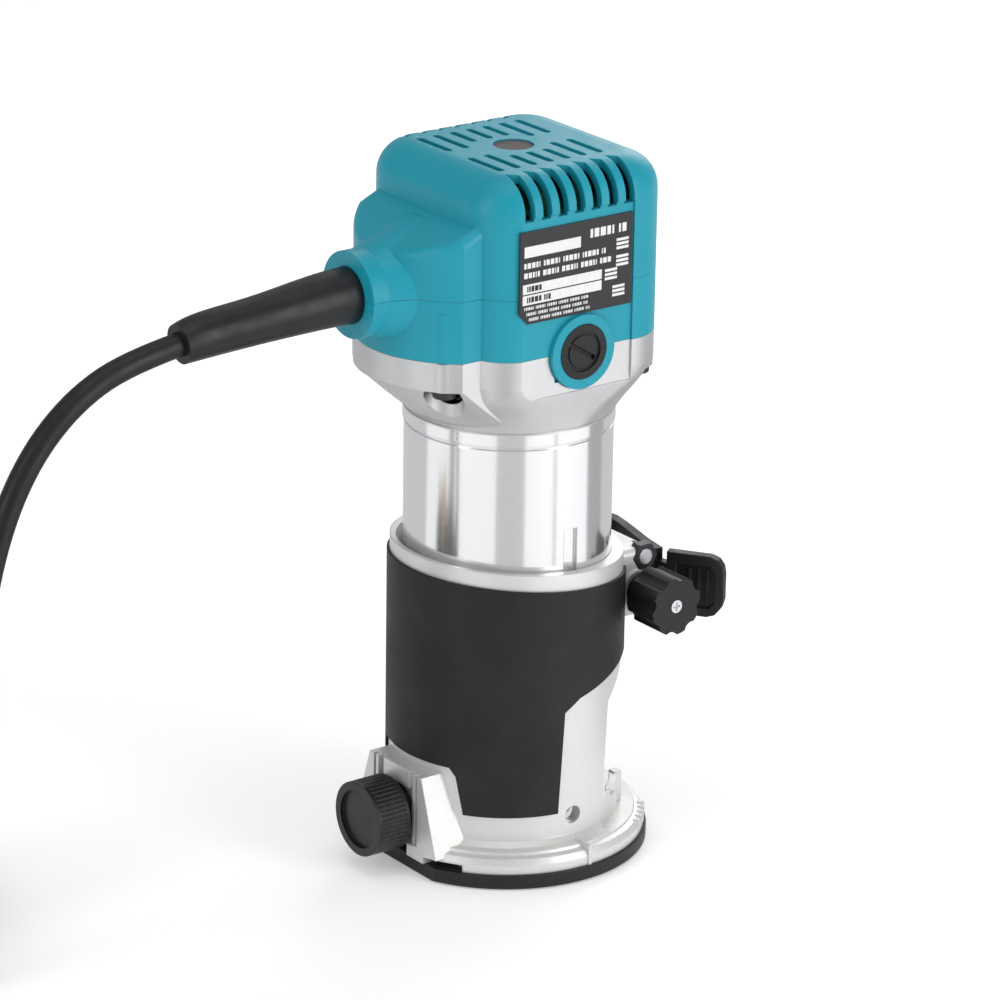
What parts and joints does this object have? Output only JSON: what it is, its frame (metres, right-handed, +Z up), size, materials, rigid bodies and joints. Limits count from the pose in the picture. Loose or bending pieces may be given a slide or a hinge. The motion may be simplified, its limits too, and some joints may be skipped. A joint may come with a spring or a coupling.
{
  "type": "trim router",
  "caption": "Compact hand-held trim router with an aluminium motor barrel that slides in a clamped base with rack height setting, rubber grip, side guide screw and mains lead.",
  "frame": {"origin": "on the motor and cutter axis, at the underside of the base plate", "axes": "+Z up along the cutter axis, +Y towards the mains lead, +X to the lever pivot side"},
  "size_m": [0.1457, 0.3387, 0.2265],
  "materials": {
    "housing_metal": "die-cast aluminium, satin above and polished on the tube",
    "shell_plastic": "fine moulded texture, teal",
    "plug_metal": "dull dark disc",
    "label_film": "printed film",
    "black_plastic": "moulded black plastic",
    "brass_parts": "drawn brass",
    "carbon": "pressed carbon",
    "spring_steel": "drawn wire",
    "switch_plastic": "moulded",
    "dial_plastic": "moulded, ribbed",
    "circuit_board": "glass fibre board",
    "lens": "clear moulded lens",
    "guard_rubber": "semi-gloss moulded rubber",
    "cord_rubber": "smooth rubber sheath",
    "plug_rubber": "moulded",
    "core_steel": "stacked laminations",
    "copper_wire": "enamelled wire",
    "copper_bar": "turned copper",
    "bearing_steel": "ground steel",
    "machined_steel": "turned steel",
    "dark_steel": "black oxide",
    "bright_screw": "zinc plated",
    "nut_steel": "phosphated steel",
    "fan_plastic": "moulded",
    "knob_plastic": "moulded",
    "base_metal": "silver painted die casting",
    "grip_rubber": "soft moulded rubber",
    "plate_plastic": "moulded plate",
    "lever_plastic": "moulded, ribbed"
  },
  "bodies": {
    "base": {"power_cord_coil": "cord_rubber", "plug_body": "plug_rubber", "plug_pins": "brass_parts", "base_casting": "base_metal", "sleeve_grip": "grip_rubber", "base_protector": "plate_plastic", "base_screws": "dark_steel", "clamp_bolt": "machined_steel", "clamp_nut": "dark_steel", "lever_pin": "machined_steel"},
    "motor": {"motor_housing": "housing_metal", "motor_end_housing": "shell_plastic", "top_cover": "shell_plastic", "top_plug": "plug_metal", "rating_label": "label_film", "brush_caps": "black_plastic", "brush_holders": "brass_parts", "carbon_brushes": "carbon", "brush_springs": "spring_steel", "switch_bezel": "black_plastic", "switch_body": "black_plastic", "controller_board": "circuit_board", "indicator_lens": "lens", "cord_guard": "guard_rubber", "cord_inner_end": "cord_rubber", "cord_clamp": "black_plastic", "power_cord": "cord_rubber", "stator_core": "core_steel", "field_coils": "copper_wire", "fan_baffle": "black_plastic", "lower_bearing_outer_ring": "bearing_steel", "upper_bearing_outer_ring": "bearing_steel", "height_rack": "machined_steel", "housing_screws": "dark_steel"},
    "switch_rocker": {"switch_rocker": "switch_plastic"},
    "speed_dial": {"speed_dial": "dial_plastic", "dial_pin": "dark_steel"},
    "spindle": {"lower_bearing_inner_ring": "bearing_steel", "lower_bearing_balls": "bearing_steel", "upper_bearing_inner_ring": "bearing_steel", "upper_bearing_balls": "bearing_steel", "armature_shaft": "machined_steel", "armature_core": "core_steel", "armature_winding": "copper_wire", "commutator": "copper_bar", "cooling_fan": "fan_plastic"},
    "collet": {"collet_cone": "machined_steel"},
    "collet_nut": {"collet_nut": "nut_steel"},
    "height_pinion": {"pinion_shaft": "machined_steel", "height_knob": "knob_plastic", "knob_screw": "bright_screw", "pinion_snap_ring": "dark_steel"},
    "lock_lever": {"lock_lever": "lever_plastic"},
    "guide_clamp": {"guide_washer": "black_plastic"},
    "guide_knob": {"guide_knob": "knob_plastic", "guide_stud": "machined_steel"}
  },
  "joints": [
    {"name": "depth_slide", "type": "slide", "parent": "base", "child": "motor", "axis": [0, 0, 1], "range_m": [-0.037, 0], "deforming": ["power_cord"]},
    {"name": "pinion_turn", "type": "hinge", "parent": "base", "child": "height_pinion", "pos_m": [-0.03, -0.036, 0.0815], "axis": [1, 0, 0], "range_deg": [-540, 540]},
    {"name": "lock_lever_swing", "type": "hinge", "parent": "base", "child": "lock_lever", "pos_m": [0.0275, -0.0386, 0.0916], "axis": [0, 0, 1], "range_deg": [0, 95]},
    {"name": "guide_clamp_travel", "type": "slide", "parent": "base", "child": "guide_clamp", "axis": [0, 1, 0], "range_m": [0, 0.006]},
    {"name": "guide_knob_turn", "type": "hinge", "parent": "guide_clamp", "child": "guide_knob", "pos_m": [0, 0.05, 0.018], "axis": [0, 1, 0], "range_deg": [-10, 2170]},
    {"name": "spindle_spin", "type": "hinge", "parent": "motor", "child": "spindle", "pos_m": [0, 0, 0.06], "axis": [0, 0, 1], "continuous": true},
    {"name": "collet_release", "type": "slide", "parent": "spindle", "child": "collet", "axis": [0, 0, -1], "range_m": [0, 0.0025]},
    {"name": "collet_nut_turn", "type": "hinge", "parent": "collet", "child": "collet_nut", "pos_m": [0, 0, 0.045], "axis": [0, 0, -1], "range_deg": [-5, 725]},
    {"name": "switch_tip", "type": "hinge", "parent": "motor", "child": "switch_rocker", "pos_m": [0, -0.03, 0.2015], "axis": [1, 0, 0], "range_deg": [-14, 0]},
    {"name": "speed_dial_turn", "type": "hinge", "parent": "motor", "child": "speed_dial", "pos_m": [0, -0.025, 0.2155], "axis": [0, 0, 1], "range_deg": [0, 270]}
  ],
  "couplings": [
    {"joint": "pinion_turn", "follows": "depth_slide", "rad_per_m": 250},
    {"joint": "guide_knob_turn", "follows": "guide_clamp_travel", "rad_per_m": 6283.2},
    {"joint": "collet_nut_turn", "follows": "collet_release", "rad_per_m": 5026.5}
  ]
}
